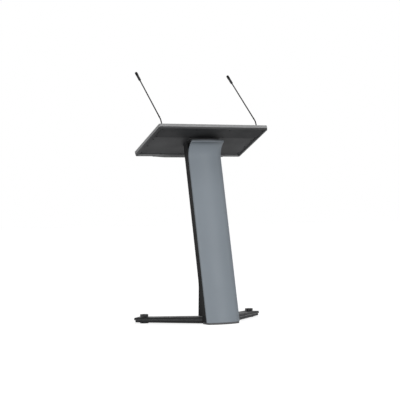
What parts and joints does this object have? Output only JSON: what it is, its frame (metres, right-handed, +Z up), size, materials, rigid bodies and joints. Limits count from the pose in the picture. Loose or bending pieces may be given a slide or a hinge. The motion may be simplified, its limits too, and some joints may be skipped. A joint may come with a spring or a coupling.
{
  "type": "presentation lectern",
  "caption": "Free-standing presentation lectern: sloping desk with gooseneck microphones on a leaning bowed column, a low base and splayed rear legs with levelling feet.",
  "frame": {"origin": "on the floor, under the centre of the bounding box", "axes": "+Z up; +Y towards the speaker, -Y towards the audience; X across the desk"},
  "size_m": [0.8354, 0.5303, 1.496],
  "materials": {
    "panel_paint": "satin blue-grey paint",
    "powder_coat": "fine black powder coat",
    "leg_paint": "satin black paint on a casting",
    "laminate": "dark grey laminate on fibreboard",
    "edge_band": "light grey plastic edging",
    "zinc_steel": "bright zinc plate",
    "black_plastic": "matt moulding",
    "black_rubber": "matt",
    "microphone_paint": "satin black",
    "windscreen_foam": "open-cell foam"
  },
  "bodies": {
    "stand": {"front_panel": "panel_paint", "base_plate": "powder_coat", "column_spine": "powder_coat", "rear_shell": "powder_coat", "panel_tie_lower": "powder_coat", "panel_tie_upper": "powder_coat", "desk_mounting_plate": "powder_coat", "desk_tray": "powder_coat", "microphone_wiring_cover": "powder_coat", "left_leg": "leg_paint", "right_leg": "leg_paint", "desk_board": "laminate", "paper_stop": "laminate", "desk_edge_band": "edge_band", "base_sole": "black_rubber", "cable_grommet": "black_rubber", "desk_bolt_1": "zinc_steel", "desk_bolt_2": "zinc_steel", "desk_bolt_3": "zinc_steel", "desk_bolt_4": "zinc_steel", "leg_bolt_left_inner": "zinc_steel", "leg_bolt_left_outer": "zinc_steel", "leg_bolt_right_inner": "zinc_steel", "leg_bolt_right_outer": "zinc_steel", "left_foot_bush": "zinc_steel", "left_socket_nut": "zinc_steel", "left_microphone_socket": "black_plastic", "left_microphone_base": "microphone_paint", "left_neck_lower": "microphone_paint", "right_foot_bush": "zinc_steel", "right_socket_nut": "zinc_steel", "right_microphone_socket": "black_plastic", "right_microphone_base": "microphone_paint", "right_neck_lower": "microphone_paint"},
    "left_foot": {"left_foot_pad": "black_rubber"},
    "left_foot_screw": {"left_levelling_screw": "zinc_steel", "left_levelling_knob": "black_plastic"},
    "left_neck": {"left_neck_middle": "microphone_paint"},
    "left_microphone": {"left_neck_upper": "microphone_paint", "left_microphone_stem": "microphone_paint", "left_microphone_capsule": "microphone_paint", "left_microphone_windscreen": "windscreen_foam"},
    "right_foot": {"right_foot_pad": "black_rubber"},
    "right_foot_screw": {"right_levelling_screw": "zinc_steel", "right_levelling_knob": "black_plastic"},
    "right_neck": {"right_neck_middle": "microphone_paint"},
    "right_microphone": {"right_neck_upper": "microphone_paint", "right_microphone_stem": "microphone_paint", "right_microphone_capsule": "microphone_paint", "right_microphone_windscreen": "windscreen_foam"}
  },
  "joints": [
    {"name": "left_foot_height", "type": "slide", "parent": "stand", "child": "left_foot", "axis": [0, 0, 1], "range_m": [-0.0015, 0.0075]},
    {"name": "left_foot_turn", "type": "hinge", "parent": "left_foot", "child": "left_foot_screw", "pos_m": [-0.34861, 0.10771, 0.02], "axis": [0, 0, 1], "range_deg": [-360, 1800]},
    {"name": "left_neck_sideways", "type": "hinge", "parent": "stand", "child": "left_neck", "pos_m": [-0.309, -0.09717, 1.17115], "axis": [0, 0.9076, -0.4198], "range_deg": [-40, 40]},
    {"name": "left_neck_lean", "type": "hinge", "parent": "left_neck", "child": "left_microphone", "pos_m": [-0.309, -0.08593, 1.18758], "axis": [1, 0, 0], "range_deg": [-40, 50]},
    {"name": "right_foot_height", "type": "slide", "parent": "stand", "child": "right_foot", "axis": [0, 0, 1], "range_m": [-0.0015, 0.0075]},
    {"name": "right_foot_turn", "type": "hinge", "parent": "right_foot", "child": "right_foot_screw", "pos_m": [0.34861, 0.10771, 0.02], "axis": [0, 0, 1], "range_deg": [-360, 1800]},
    {"name": "right_neck_sideways", "type": "hinge", "parent": "stand", "child": "right_neck", "pos_m": [0.309, -0.09717, 1.17115], "axis": [0, 0.9076, -0.4198], "range_deg": [-40, 40]},
    {"name": "right_neck_lean", "type": "hinge", "parent": "right_neck", "child": "right_microphone", "pos_m": [0.309, -0.08593, 1.18758], "axis": [1, 0, 0], "range_deg": [-40, 50]}
  ],
  "couplings": [
    {"joint": "left_foot_turn", "follows": "left_foot_height", "rad_per_m": 4188.8},
    {"joint": "right_foot_turn", "follows": "right_foot_height", "rad_per_m": 4188.8}
  ]
}
